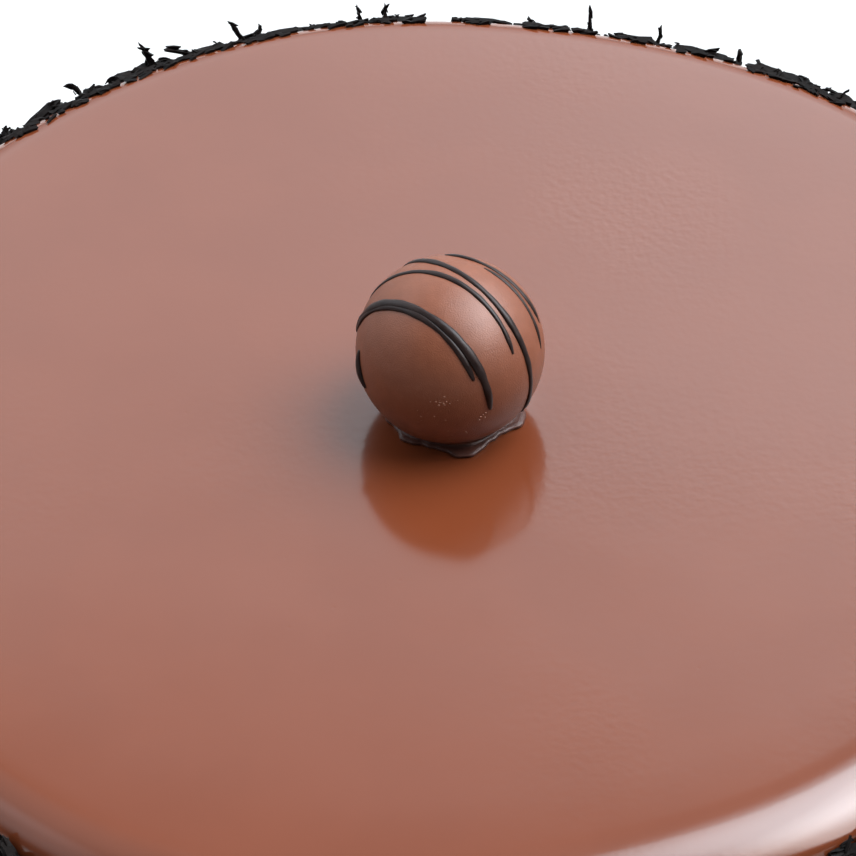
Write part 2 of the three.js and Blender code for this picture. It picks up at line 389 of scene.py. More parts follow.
def mottle_group() -> bpy.types.ShaderNodeTree:
    """The uneven body of tempered chocolate, shared by every chocolate finish.

    Returns:
        A group that takes a scale in lumps to the metre and gives broad patches, a fine
        grain and sparse pits, each from 0 to 1.
    """
    found = bpy.data.node_groups.get("chocolate_mottle")
    if found:
        return found
    tree = bpy.data.node_groups.new("chocolate_mottle", "ShaderNodeTree")
    scale = tree.interface.new_socket("Scale", in_out="INPUT", socket_type="NodeSocketFloat")
    scale.default_value = 100.0
    for name in ("Patches", "Grain", "Pits"):
        tree.interface.new_socket(name, in_out="OUTPUT", socket_type="NodeSocketFloat")
    wiring = Wiring(tree)
    inside = wiring.add("NodeGroupInput")
    outside = wiring.add("NodeGroupOutput")
    place = wiring.add("ShaderNodeVectorMath", operation="SCALE")
    wiring.join(wiring.add("ShaderNodeTexCoord").outputs["Object"], place.inputs[0])
    wiring.join(inside.outputs["Scale"], place.inputs["Scale"])
    scaled = place.outputs["Vector"]
    for name, (lumps, detail) in MOTTLE_NOISES.items():
        wiring.join(wiring.noise(lumps, detail, scaled), outside.inputs[name])
    cells = wiring.add("ShaderNodeTexVoronoi")
    cells.inputs["Scale"].default_value = PIT_DENSITY
    wiring.join(scaled, cells.inputs["Vector"])
    spots = wiring.remap(cells.outputs["Distance"], PIT_EDGE, (1.0, 0.0))
    wiring.join(spots, outside.inputs["Pits"])
    return tree


@dataclass(frozen=True)
class Finish:
    """A chocolate finish: its colours, its gloss and its relief."""

    PATCH_SPAN = (0.3, 0.7)

    name: str
    base: Colour
    patch: Colour
    scale: float
    roughness: float
    patch_roughness: float
    relief: float
    ior: float = 1.46
    sheen: float = 0.5

    def start(self) -> tuple[bpy.types.Material, Wiring, bpy.types.Node, bpy.types.Node]:
        """An empty material with its shader and the shared mottle.

        Returns:
            The material, its wiring, its shader and its mottle.
        """
        material = bpy.data.materials.new(self.name)
        material.use_nodes = True
        wiring = Wiring(material.node_tree)
        wiring.tree.nodes.clear()
        shader = wiring.add("ShaderNodeBsdfPrincipled")
        shader.inputs["IOR"].default_value = self.ior
        shader.inputs["Specular IOR Level"].default_value = self.sheen
        output = wiring.add("ShaderNodeOutputMaterial")
        wiring.join(shader.outputs["BSDF"], output.inputs["Surface"])
        mottle = wiring.add("ShaderNodeGroup", node_tree=mottle_group())
        mottle.inputs["Scale"].default_value = self.scale
        return material, wiring, shader, mottle

    def patches(self, wiring: Wiring, mottle: bpy.types.Node) -> bpy.types.NodeSocket:
        """Where the patches of the second colour lie.

        Args:
            wiring: The material's nodes.
            mottle: The shared mottle.

        Returns:
            The share of the second colour, from 0 to 1.
        """
        return wiring.remap(mottle.outputs["Patches"], self.PATCH_SPAN, (0.0, 1.0))

    def make(self) -> bpy.types.Material:
        """Makes the material.

        Returns:
            The finished material.
        """
        material, wiring, shader, mottle = self.start()
        patches = self.patches(wiring, mottle)
        wiring.join(wiring.tint(patches, self.base, self.patch), shader.inputs["Base Color"])
        rough = wiring.remap(patches, (0.0, 1.0), (self.roughness, self.patch_roughness))
        wiring.join(rough, shader.inputs["Roughness"])
        normal = wiring.relief(mottle.outputs["Grain"], self.relief)
        wiring.join(normal, shader.inputs["Normal"])
        return material


@dataclass(frozen=True)
class IcingFinish(Finish):
    """Poured icing: glossy, faintly rippled, and near black low on the side, from dark crumbs and
    painted shade in the gaps under the shavings.
    """

    # The near-black colour low on the side: dark crumbs, and painted shade between and under the
    # shavings.
    crumb_and_shade: Colour = rgb(0.006, 0.0045, 0.0042)
    crumb_and_shade_edge: tuple[float, float] = (54.4 * MM, 55.4 * MM)
    crumb_and_shade_roughness: float = 0.6
    ragged_scale: float = 900.0
    ragged_depth: float = 3.0 * MM
    swell: float = 60e-6
    swell_scale: float = 38.0
    peel: float = 13e-6
    peel_scale: float = 780.0
    peel_side: tuple[float, float] = (-5.0 * MM, 25.0 * MM)
    peel_side_gain: float = 2.2
    peel_front: tuple[float, float] = (-40.0 * MM, -15.0 * MM)
    peel_front_share: float = 0.35
    ripple_scale: float = 26.6
    ripple_span: tuple[float, float] = (0.42, 0.62)
    ripple_least: float = 0.45

    def make(self) -> bpy.types.Material:
        """Makes the material.

        Returns:
            The finished material.
        """
        material, wiring, shader, mottle = self.start()
        patches = self.patches(wiring, mottle)
        icing = wiring.tint(patches, self.base, self.patch)
        place = wiring.add("ShaderNodeTexCoord").outputs["Object"]
        split = wiring.add("ShaderNodeSeparateXYZ")
        wiring.join(place, split.inputs["Vector"])
        ragged = wiring.maths("MULTIPLY", wiring.noise(self.ragged_scale), self.ragged_depth)
        height = wiring.maths("ADD", split.outputs["Z"], ragged)
        # Below a ragged line the icing takes the near-black colour, which is partly painted shade
        # under the shavings.
        dusted_and_shaded = wiring.remap(height, self.crumb_and_shade_edge, (1.0, 0.0))
        wiring.join(wiring.tint(dusted_and_shaded, icing, self.crumb_and_shade), shader.inputs["Base Color"])
        rough = wiring.remap(dusted_and_shaded, (0.0, 1.0), (self.roughness, self.crumb_and_shade_roughness))
        wiring.join(rough, shader.inputs["Roughness"])
        swell = wiring.relief(wiring.noise(self.swell_scale, 1.0), self.swell)
        ripples = wiring.noise(self.ripple_scale)
        rippled = wiring.remap(ripples, self.ripple_span, (self.ripple_least, 1.0))
        aside = wiring.remap(split.outputs["X"], self.peel_side, (1.0, self.peel_side_gain))
        middle = wiring.remap(split.outputs["Y"], self.peel_front, (self.peel_front_share, 1.0))
        strong = wiring.maths("MULTIPLY", rippled, wiring.maths("MULTIPLY", aside, middle))
        bumps = wiring.maths("MULTIPLY", wiring.noise(self.peel_scale, 1.0), strong)
        peel = wiring.relief(bumps, self.peel, swell)
        pits = wiring.maths("MULTIPLY", mottle.outputs["Pits"], -1.0)
        wiring.join(wiring.relief(pits, self.relief, peel), shader.inputs["Normal"])
        return material


@dataclass(frozen=True)
class CoatingFinish(Finish):
    """The truffle's coating: satin on the ball, and wet and darker on the foot that it ran out to,
    the darker colour partly painted shade under the ball.
    """

    # The foot's darker colour: a wet film of coating, partly painted shade under the ball.
    foot: Colour = rgb(0.068, 0.024, 0.017)
    foot_roughness: float = 0.3
    foot_sheen: float = 0.16
    foot_film_and_shade_edge: tuple[float, float] = (61.0 * MM, 61.6 * MM)

    def make(self) -> bpy.types.Material:
        """Makes the material.

        Returns:
            The finished material.
        """
        material, wiring, shader, mottle = self.start()
        patches = self.patches(wiring, mottle)
        split = wiring.add("ShaderNodeSeparateXYZ")
        wiring.join(wiring.add("ShaderNodeTexCoord").outputs["Object"], split.inputs["Vector"])
        # The foot, below the ball, takes a darker colour that is partly painted shade.
        low = wiring.remap(split.outputs["Z"], self.foot_film_and_shade_edge, (1.0, 0.0))
        coat = wiring.tint(patches, self.base, self.patch)
        wiring.join(wiring.tint(low, coat, self.foot), shader.inputs["Base Color"])
        rough = wiring.remap(low, (0.0, 1.0), (self.roughness, self.foot_roughness))
        wiring.join(rough, shader.inputs["Roughness"])
        sheen = wiring.remap(low, (0.0, 1.0), (self.sheen, self.foot_sheen))
        wiring.join(sheen, shader.inputs["Specular IOR Level"])
        wiring.join(wiring.relief(mottle.outputs["Grain"], self.relief), shader.inputs["Normal"])
        return material


ICING = IcingFinish(
    name="poured_icing",
    base=rgb(0.117, 0.0258, 0.0091),
    patch=rgb(0.123, 0.0277, 0.0101),
    scale=55.0,
    roughness=0.13,
    patch_roughness=0.16,
    relief=8e-6,
)
COATING = CoatingFinish(
    name="truffle_coating",
    base=rgb(0.148, 0.0395, 0.016),
    patch=rgb(0.164, 0.0455, 0.0195),
    scale=560.0,
    roughness=0.44,
    patch_roughness=0.5,
    relief=45e-6,
    sheen=0.37,
)
DRIZZLE = Finish(
    name="dark_drizzle",
    base=rgb(0.0115, 0.0052, 0.0043),
    patch=rgb(0.017, 0.0078, 0.0062),
    scale=500.0,
    roughness=0.3,
    patch_roughness=0.42,
    relief=28e-6,
    sheen=0.18,
)
SHAVING = Finish(
    name="dark_shavings",
    base=rgb(0.0038, 0.0026, 0.0024),
    patch=rgb(0.0075, 0.0048, 0.0042),
    scale=420.0,
    roughness=0.42,
    patch_roughness=0.6,
    relief=40e-6,
    sheen=0.045,
)
FLECK = Finish(
    name="pale_flecks",
    base=rgb(0.2, 0.075, 0.04),
    patch=rgb(0.27, 0.12, 0.07),
    scale=900.0,
    roughness=0.3,
    patch_roughness=0.4,
    relief=8e-6,
)


# ------------------------------------------------------------------ the iced cake


@dataclass(frozen=True)
class CakeForm:
    """The iced cake's shape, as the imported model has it."""

    height: float
    radius: float = 101.5 * MM
    shoulder: float = 8.0 * MM
    base_ease: float = 1.6 * MM
    lobes: tuple[tuple[int, float, float], ...] = (
        (1, 0.0139, 201.4),
        (2, 0.0041, 44.3),
        (3, 0.0142, 4.2),
        (4, 0.0061, 44.3),
        (5, 0.0034, 14.7),
        (7, 0.0047, 49.9),
    )

    def roundness(self, azimuth: np.ndarray) -> np.ndarray:
        """How the radius changes round the cake.

        Args:
            azimuth: Degrees from +X.

        Returns:
            The share of the plain radius.
        """
        share = np.ones_like(azimuth)
        for count, amount, turn in self.lobes:
            share = share + amount * np.cos(np.radians(count * (azimuth - turn)))
        return share

    def wall(self, azimuth: np.ndarray) -> np.ndarray:
        """The wall's distance from the axis at azimuths in degrees."""
        return self.radius * self.roundness(np.asarray(azimuth, dtype=float))


@dataclass(frozen=True)
class Icing:
    """The poured icing over the whole cake, as one closed skin."""

    form: CakeForm
    truffle_place: tuple[float, float]
    segments: int = 320
    under_steps: int = 5
    ease_steps: int = 6
    wall_steps: int = 25
    shoulder_steps: int = 26
    wall_lumps: float = 0.22 * MM
    wall_fade: tuple[float, float] = (6.0 * MM, 12.0 * MM)
    top_swell: float = 0.05 * MM
    top_depth: float = 1.5 * MM
    swell_fade: tuple[float, float] = (4.0 * MM, 30.0 * MM)
    meniscus: float = 0.28 * MM
    meniscus_from: float = 9.0 * MM
    meniscus_reach: float = 1.6 * MM
    meniscus_fade: tuple[float, float] = (14.0 * MM, 20.0 * MM)
    dome_from: float = 80.0 * MM
    dome_reach: float = 16.0 * MM
    dome_radius: float = 700 * MM
    sag_fade: tuple[float, float] = (24.0 * MM, 8.0 * MM)
    slump_from: float = 91.0 * MM
    slump_radius: float = 14.2 * MM
    slump_turn: float = 42.0
    slump_azimuth: float = -50.0
    slump_spread: float = 42.0

    # Where the rings over the top change their spacing, and the points on each stretch.
    TOP_STRETCHES = ((18.0 * MM, 40), (8.0 * MM, 34), (0.0, 6))

    def profile(self) -> np.ndarray:
        """The plain profile, from the underside's middle to the top's.

        Returns:
            Rows of distance and height.
        """
        form = self.form
        flat = form.radius - form.shoulder
        inner = form.radius - form.base_ease
        radii = np.linspace(0.0, inner, self.under_steps + 1)[:-1]
        under = np.column_stack((radii, np.zeros(self.under_steps)))
        foot = arc((inner, form.base_ease), form.base_ease, -90, 0, self.ease_steps)
        rise = np.linspace(form.base_ease, form.height - form.shoulder, self.wall_steps + 1)[1:-1]
        wall = np.column_stack((np.full(len(rise), form.radius), rise))
        middle = (flat, form.height - form.shoulder)
        edge = arc(middle, form.shoulder, 0, 90, self.shoulder_steps)
        pieces = [under, foot, wall, edge]
        begin = flat
        for end, count in self.TOP_STRETCHES:
            radii = np.linspace(begin, end, count)[1:]
            pieces.append(np.column_stack((radii, np.full(len(radii), form.height))))
            begin = end
        return np.vstack(pieces)

    def shape(
        self, azimuth: np.ndarray, distance: np.ndarray, height: np.ndarray
    ) -> tuple[np.ndarray, np.ndarray]:
        """Adds the hand-iced wall's lumps, the top's swell and the rise at the truffle's foot.

        Args:
            azimuth: Degrees from +X.
            distance: Metres from the axis.
            height: Metres above the base.

        Returns:
            The new distances and heights.
        """
        form = self.form
        plain = distance
        turn = np.radians(azimuth)
        up, down = self.wall_fade
        on_wall = smooth(height, 0.0, up) * smooth(form.height - height, 0.0, down)
        lumps = np.sin(11 * turn + 90 * height) * np.sin(7 * turn - 160 * height + 1.3)
        lumps += 0.6 * np.sin(23 * turn + 210 * height + 0.4)
        distance = distance * form.roundness(azimuth) + self.wall_lumps * on_wall * lumps
        x, y = distance * np.cos(turn), distance * np.sin(turn)
        on_top = smooth(height, form.height - self.top_depth, form.height)
        swell = np.sin(62 * x + 38 * y + 0.6) * np.sin(47 * y - 29 * x + 2.1)
        away = np.hypot(x - self.truffle_place[0], y - self.truffle_place[1])
        past = np.maximum(away - self.meniscus_from, 0.0)
        rise = self.meniscus * np.exp(-past / self.meniscus_reach)
        rise = rise * (1 - smooth(away, *self.meniscus_fade))
        far = smooth(away, *self.swell_fade)
        height = height + on_top * (self.top_swell * swell * far + rise)
        return distance, height - self.sagging(azimuth, plain, height)

    def slumped(self, distance: np.ndarray) -> np.ndarray:
        """How far the top has dropped at a distance where the icing slumped into a wider curve.

        Args:
            distance: Metres from the axis, before the cake is made out of round.

        Returns:
            The drop in metres.
        """
        turn = math.radians(self.slump_turn)
        tight_from = self.slump_from + self.slump_radius * math.sin(turn)
        tight = (self.form.radius - tight_from) / (1 - math.sin(turn))
        wide = np.clip((distance - self.slump_from) / self.slump_radius, 0.0, math.sin(turn))
        last = np.clip(math.sin(turn) + (distance - tight_from) / tight, math.sin(turn), 1.0)
        drop = self.slump_radius * (1 - np.sqrt(1 - wide**2))
        return drop + tight * (math.cos(turn) - np.sqrt(1 - last**2))

    def sagging(self, azimuth: np.ndarray, distance: np.ndarray, height: np.ndarray) -> np.ndarray:
        """How far the icing has sagged below the plain rounded edge, most at the front right.

        Args:
            azimuth: Degrees from +X.
            distance: Metres from the axis, before the cake is made out of round.
            height: Metres above the base.

        Returns:
            The drop in metres.
        """
        form = self.form
        rounded = np.clip((distance - form.radius + form.shoulder) / form.shoulder, 0.0, 1.0)
        plain = form.shoulder * (1 - np.sqrt(1 - rounded**2))
        aside = ((azimuth - self.slump_azimuth + 180) % 360 - 180) / self.slump_spread
        past = np.clip(distance - self.dome_from, 0.0, self.dome_reach)
        run_off = past**2 / (2 * self.dome_radius)
        above = smooth(height, form.height - self.sag_fade[0], form.height - self.sag_fade[1])
        return ((self.slumped(distance) - plain) * np.exp(-(aside**4)) + run_off) * above

    def build(self) -> bpy.types.Object:
        """Makes the icing and hides the plain cake that it stands for.

        Returns:
            The icing.
        """
        piece = turned_piece("icing", self.profile(), self.segments, self.shape)
        piece.data.materials.append(ICING.make())
        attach(piece, "root")
        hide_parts("cake")
        return piece


# ------------------------------------------------------------------ the shavings


class ShavingKind(Enum):
    """The sizes of shaving on the cake's side."""

    LARGE = "large"
    CHIP = "chip"
    SLIVER = "sliver"
    SPLINTER = "splinter"


@dataclass
class ShavingBatch:
    """Shavings as arrays with one entry each. Each slab runs from its foot to its tip."""

    foot: np.ndarray
    tip: np.ndarray
    width: np.ndarray
    thickness: np.ndarray
    tip_share: np.ndarray
    skew: np.ndarray

    @classmethod
    def joined(cls, rows: Sequence[tuple]) -> "ShavingBatch":
        """Gathers single shavings, each a tuple in the order of the fields."""
        return cls(*(np.array([row[i] for row in rows], dtype=float) for i in range(6)))


@dataclass(frozen=True)
class Cutter:
    """Cuts slabs with chamfered sides, ragged ends and a slight bow."""

    FLOOR_CLEARANCE = 0.15 * MM

    stations: tuple[float, ...]
    section: tuple[tuple[float, float], ...]
    bow: float
    roughness: float
    end_share: float
    seed: int

    def cut(self, name: str, batch: ShavingBatch) -> bpy.types.Object:
        """Makes one mesh of all the shavings.

        Args:
            name: The piece's name.
            batch: The shavings.

        Returns:
            The new object.
        """
        rng = np.random.default_rng(self.seed)
        along = batch.tip - batch.foot
        length = np.linalg.norm(along, axis=1)
        along = unit(along)
        outward = unit(batch.foot * (1.0, 1.0, 0.0))
        across = unit(np.cross(outward, along))
        proud = np.cross(along, across)
        count, rings, sides = len(length), len(self.stations), len(self.section)
        s = np.array(self.stations)[None, :, None]
        half = batch.width[:, None, None] / 2
        taper = 1 + (batch.tip_share[:, None, None] - 1) * s
        ends = np.where((s <= 0) | (s >= 1), self.end_share, 1.0)
        shape = np.array(self.section)
        stray = 1 + self.roughness * rng.uniform(-1, 1, (count, rings, sides, 2))
        a = shape[:, 0] * half * taper * ends * stray[..., 0]
        t = shape[:, 1] * batch.thickness[:, None, None] * (1 - (1 - ends) * 0.5) * stray[..., 1]
        slant = batch.skew[:, None, None] * half * (2 * s - 1) * np.sign(shape[:, 0])
        ragged = self.roughness * half * rng.uniform(-1, 1, (count, rings, sides)) * (ends < 1)
        bend = self.bow * length[:, None, None] * 4 * s * (1 - s)
        sideways = bend * rng.uniform(-1, 1, (count, 1, 1))
        outwards = bend * rng.uniform(-0.3, 1, (count, 1, 1))

        def lay(direction: np.ndarray, amount: np.ndarray) -> np.ndarray:
            """Moves every point by its own amount along its shaving's direction."""
            amounts = np.broadcast_to(amount, (count, rings, sides))
            return direction[:, None, None, :] * amounts[..., None]

        points = batch.foot[:, None, None, :]
        points = points + lay(along, length[:, None, None] * s + slant + ragged)
        points = points + lay(across, a + sideways) + lay(proud, t + outwards)
        points[..., 2] = np.maximum(points[..., 2], self.FLOOR_CLEARANCE)
        one = skin_faces(rings, sides)
        step = rings * sides
        faces = [tuple(k * step + i for i in face) for k in range(count) for face in one]
        return new_piece(name, points, faces, is_smooth=False)


@dataclass(frozen=True)
class Strewing:
    """How the small shavings of one kind are strewn over the wall.

    Lengths and thicknesses run from the least to the most. The slimness is the width as a
    share of the length, the lean is in degrees, proud is how far the foot end's inner face
    stands off the wall, and top is the height of the ragged line that they end at.
    """

    count: int
    length: tuple[float, float]
    slimness: tuple[float, float]
    thickness: tuple[float, float]
    lean: tuple[float, float]
    proud: tuple[float, float]
    seed: int
    top: float = 53.3 * MM


@dataclass(frozen=True)
class LapBand:
    """A band of splinters that lap over the icing's rounded edge.

    It has a count for each lying and each upright shaving of the edge row. They lie up to
    past degrees beyond that shaving's ends, and the tilt is how far down the edge they lie.
    """

    count: int
    upright_count: int
    tilt: tuple[float, float]
    past: float


@dataclass(frozen=True)
class Shavings:
    """The dark chocolate shavings that cover the side up to a ragged edge."""

    EDGE_SEED_STEP = 104729
    WALL_SEED_STEP = 7919

    # The waves of the ragged line that the small ones end at: how many lie round the cake,
    # and degrees of turn.
    TOP_WAVES = ((17, 0), (41, 60))

    form: CakeForm
    sunk: float = 0.4 * MM
    seed: int = 20
    floor_gap: float = 1.3 * MM
    foot_gap: float = 0.3 * MM
    rows: int = 5
    columns: int = 52
    lowest: float = 1.5 * MM
    highest: float = 54.0 * MM
    edge_from: float = 136.0
    edge_to: float = 407.0
    edge_count: int = 64
    edge_skew: float = 0.4
    loose_from: float = 0.9 * MM
    loose_tip_share: float = 0.45
    flat_tip_share: float = 0.8
    top_raggedness: float = 0.5 * MM
    cling_count: int = 14
    cling_length: tuple[float, float] = (0.8 * MM, 2.4 * MM)
    cling_thickness: tuple[float, float] = (0.2 * MM, 0.5 * MM)
    cling_slimness: tuple[float, float] = (0.2, 0.45)
    cling_seed: int = 37
    lap_span: tuple[float, float] = (10.0, 170.0)
    lap_length: tuple[float, float] = (0.7 * MM, 2.8 * MM)
    lap_width: tuple[float, float] = (0.5 * MM, 1.2 * MM)
    lap_thickness: tuple[float, float] = (0.4 * MM, 0.8 * MM)
    lap_sunk: float = 0.15 * MM
    lap_seed: int = 53

    LAP_BANDS = (
        LapBand(count=6, upright_count=2, tilt=(20.0, 38.0), past=0.0),
        LapBand(count=9, upright_count=9, tilt=(40.0, 84.0), past=1.0),
    )
    CHIPS = Strewing(
        count=5200,
        length=(3.6 * MM, 7.2 * MM),
        slimness=(0.2, 0.42),
        thickness=(0.5 * MM, 1.2 * MM),
        lean=(-3.0, 13.0),
        proud=(-0.4 * MM, 0.3 * MM),
        seed=71,
    )
    SLIVERS = Strewing(
        count=8600,
        length=(1.4 * MM, 4.4 * MM),
        slimness=(0.16, 0.42),
        thickness=(0.3 * MM, 0.8 * MM),
        lean=(-6.0, 24.0),
        proud=(-0.1 * MM, 0.9 * MM),
        seed=92,
    )
    LARGE_CUTTER = Cutter(
        stations=(0, 0.05, 0.3, 0.62, 0.94, 1),
        section=(
            (-1, 0),
            (0, -0.04),
            (1, 0),
            (1, 0.6),
            (0.82, 1),
            (0.05, 0.92),
            (-0.8, 1),
            (-1, 0.5),
        ),
        bow=0.02,
        roughness=0.14,
        end_share=0.84,
        seed=5,
    )
    CHIP_CUTTER = Cutter(
        stations=(0, 0.35, 0.75, 1),
        section=((-1, 0), (1, 0), (0.9, 0.85), (0.1, 1), (-0.95, 0.7)),
        bow=0.035,
        roughness=0.2,
        end_share=0.8,
        seed=6,
    )
    FINE_CUTTER = Cutter(
        stations=(0, 0.5, 1),
        section=((-1, 0), (1, 0), (0.75, 1), (-0.9, 0.8)),
        bow=0.05,
        roughness=0.26,
        end_share=0.75,
        seed=7,
    )

    # The listed ones at the edge: the foot end's azimuth and height, the free end's
    # azimuth, height and stand-off from the wall, the width, and the thickness.
    EDGE_PLACES = (
        (134.9, 54.4, 134.2, 56.2, 1.2, 1.0, 0.9),
        (135.3, 54.6, 133.6, 54.3, 0.5, 1.3, 1.6),
        (132.4, 54.2, 128.7, 55.8, 0.5, 1.6, 1.8),
        (128.9, 56.0, 127.4, 54.2, 0.6, 0.9, 1.7),
        (125.4, 54.6, 126.5, 56.9, 1.5, 0.8, 0.8),
        (126.3, 54.6, 124.7, 55.2, 0.5, 1.2, 1.8),
        (125.6, 54.7, 123.8, 53.9, 0.5, 1.2, 1.8),
        (122.5, 55.3, 120.1, 54.4, 0.3, 2.0, 2.2),
        (120.2, 55.5, 116.3, 54.5, 0.4, 1.6, 2.1),
        (118.2, 54.4, 118.9, 58.6, 1.3, 1.5, 1.0),
        (113.6, 55.0, 116.9, 57.4, 1.4, 0.8, 0.8),
        (114.1, 55.1, 110.8, 54.2, 0.3, 1.6, 2.2),
        (109.0, 54.6, 110.3, 58.9, 1.3, 0.8, 0.8),
        (109.6, 55.2, 107.0, 54.1, 0.4, 1.4, 2.0),
        (108.5, 54.8, 107.4, 56.6, 1.2, 0.7, 0.8),
        (107.0, 55.0, 102.6, 54.2, 0.3, 1.3, 2.2),
        (102.5, 54.7, 97.6, 54.2, 0.2, 1.0, 2.1),
        (97.9, 54.6, 98.2, 57.5, 1.4, 0.7, 0.7),
        (97.1, 55.0, 95.2, 54.4, 0.3, 1.3, 2.0),
        (96.0, 54.7, 95.6, 57.3, 1.5, 0.8, 0.8),
        (94.6, 55.4, 92.4, 54.4, 0.3, 1.2, 2.0),
        (89.2, 54.7, 87.4, 54.2, 0.3, 1.0, 2.1),
        (87.6, 55.1, 84.2, 54.1, 0.3, 1.4, 2.1),
        (81.0, 54.3, 81.9, 55.6, 1.2, 1.0, 1.0),
        (80.5, 54.5, 78.0, 54.3, 0.4, 1.5, 2.0),
        (75.9, 54.4, 76.1, 58.6, 1.6, 0.8, 0.8),
        (76.6, 54.5, 75.3, 54.5, 0.5, 1.0, 1.5),
        (73.5, 54.8, 69.6, 54.5, 0.3, 1.5, 2.2),
        (69.3, 54.4, 69.1, 57.0, 1.4, 0.8, 0.8),
        (67.6, 54.6, 62.3, 54.3, 0.3, 1.8, 2.3),
        (60.9, 54.2, 61.1, 57.4, 1.3, 1.0, 0.9),
        (59.3, 55.1, 56.6, 54.5, 0.3, 1.4, 2.2),
        (56.6, 54.9, 53.6, 54.7, 0.3, 1.8, 2.2),
        (53.6, 54.4, 51.9, 54.0, 0.3, 1.0, 2.0),
        (51.4, 54.4, 49.9, 55.4, 0.4, 1.4, 2.0),
        (50.1, 55.2, 48.2, 53.9, 0.4, 1.3, 2.0),
        (-60.3, 53.4, -57.2, 54.0, 0.6, 2.6, 1.6),
        (-126.6, 54.2, -123.9, 55.6, -0.1, 1.3, 1.3),
        (-127.4, 53.9, -128.6, 56.4, -0.5, 1.6, 1.4),
    )

    def on_wall(self, azimuth: float, proud: float, height: float) -> np.ndarray:
        """A point at an azimuth in degrees, a stand-off from the wall and a height."""
        return around(azimuth, self.form.wall(azimuth) + proud, height)

    def edge_shaving(
        self,
        foot: tuple[float, float],
        tip: tuple[float, float, float],
        width: float,
        thickness: float,
    ) -> tuple:
        """A shaving of the edge row.

        Args:
            foot: The foot end's azimuth in degrees, and its height.
            tip: The free end's azimuth, height and stand-off from the wall.
            width: Its width.
            thickness: How far it stands out.

        Returns:
            The shaving, in the order of a batch's fields.
        """
        tip_share = self.loose_tip_share if tip[2] > self.loose_from else self.flat_tip_share
        skew = math.copysign(self.edge_skew, foot[0] - tip[0])
        start = self.on_wall(foot[0], -self.sunk, foot[1])
        end = self.on_wall(tip[0], tip[2], tip[1])
        return start, end, width, thickness, tip_share, skew

    def drawn_edge_shaving(self, index: int) -> tuple:
        """The edge shaving of that number where none is listed.

        Args:
            index: Its number round the edge.

        Returns:
            The shaving, in the order of a batch's fields.
        """
        draw = Draws(self.seed + self.EDGE_SEED_STEP * (index + 1))
        span = self.edge_to - self.edge_from
        azimuth = self.edge_from + span * (index + draw(0.15, 0.85)) / self.edge_count
        height = draw(53.0, 54.8) * MM
        side = 1 if draw() < 0.5 else -1
        upright = draw() < 0.28
        length = (draw(3.4, 5.6) if upright else draw(4.2, 8.4)) * MM
        rise = math.radians(draw(48, 88) if upright else draw(-14, 16))
        run = math.degrees(length * math.cos(rise)) / self.form.radius
        tip = (
            azimuth + side * run,
            height + length * math.sin(rise),
            (1.4 if upright else 0.35) * MM,
        )
        width = (draw(0.7, 1.2) if upright else draw(0.8, 1.7)) * MM
        thickness = (draw(0.8, 1.0) if upright else draw(1.2, 2.3)) * MM
        return self.edge_shaving((azimuth, height), tip, width, thickness)

    def wall_shaving(self, index: int) -> tuple:
        """The large shaving of that number in the even grid over the wall.

        Args:
            index: Its number, row by row from the base.

        Returns:
            The shaving, in the order of a batch's fields.
        """
        draw = Draws(self.seed + self.WALL_SEED_STEP * index)
        row = index // self.columns
        column = index % self.columns + 0.5 * (row % 2)
        length = draw(6.2, 10.6) * MM
        width = length * draw(0.24, 0.4)
        turn = math.radians(80) * draw(-1, 1)
        lean = math.radians(17) * draw()
        azimuth = 360 * (column + draw(-0.3, 0.3)) / self.columns
        rise = (row + 0.5 + draw(-0.3, 0.3)) / self.rows
        height = self.lowest + (self.highest - self.lowest) * rise
        reach = (length * abs(math.sin(turn)) + width * math.cos(turn)) / 2
        height = min(max(height, reach + self.floor_gap), self.highest - reach)
        middle = self.on_wall(azimuth, -self.sunk, height)
        level = around(azimuth + (90 if draw() < 0.5 else -90), 1.0, 0.0)
        half = length / 2 * (level * math.cos(turn) + np.array((0.0, 0.0, math.sin(turn))))
        out = around(azimuth, 1.0, 0.0) * length * math.sin(lean)
        thickness = draw(0.8, 1.6) * MM
        return middle - half, middle + half + out, width, thickness, draw(0.45, 1), draw(-0.6, 0.6)

    def edge_row(self) -> list[tuple]:
        """The large shavings of the edge row.

        Returns:
            The listed ones, then the drawn ones, each in the order of a batch's fields.
        """
        placed = [
            self.edge_shaving(
                (foot_azimuth, foot_height * MM),
                (tip_azimuth, tip_height * MM, stand_off * MM),
                width * MM,
                thickness * MM,
            )
            for foot_azimuth, foot_height, tip_azimuth, tip_height, stand_off, width, thickness
            in self.EDGE_PLACES
        ]
        return [*placed, *(self.drawn_edge_shaving(i) for i in range(self.edge_count))]

    def large(self) -> ShavingBatch:
        """The large shavings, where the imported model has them."""
        wall = [self.wall_shaving(i) for i in range(self.rows * self.columns)]
        return ShavingBatch.joined([*self.edge_row(), *wall])

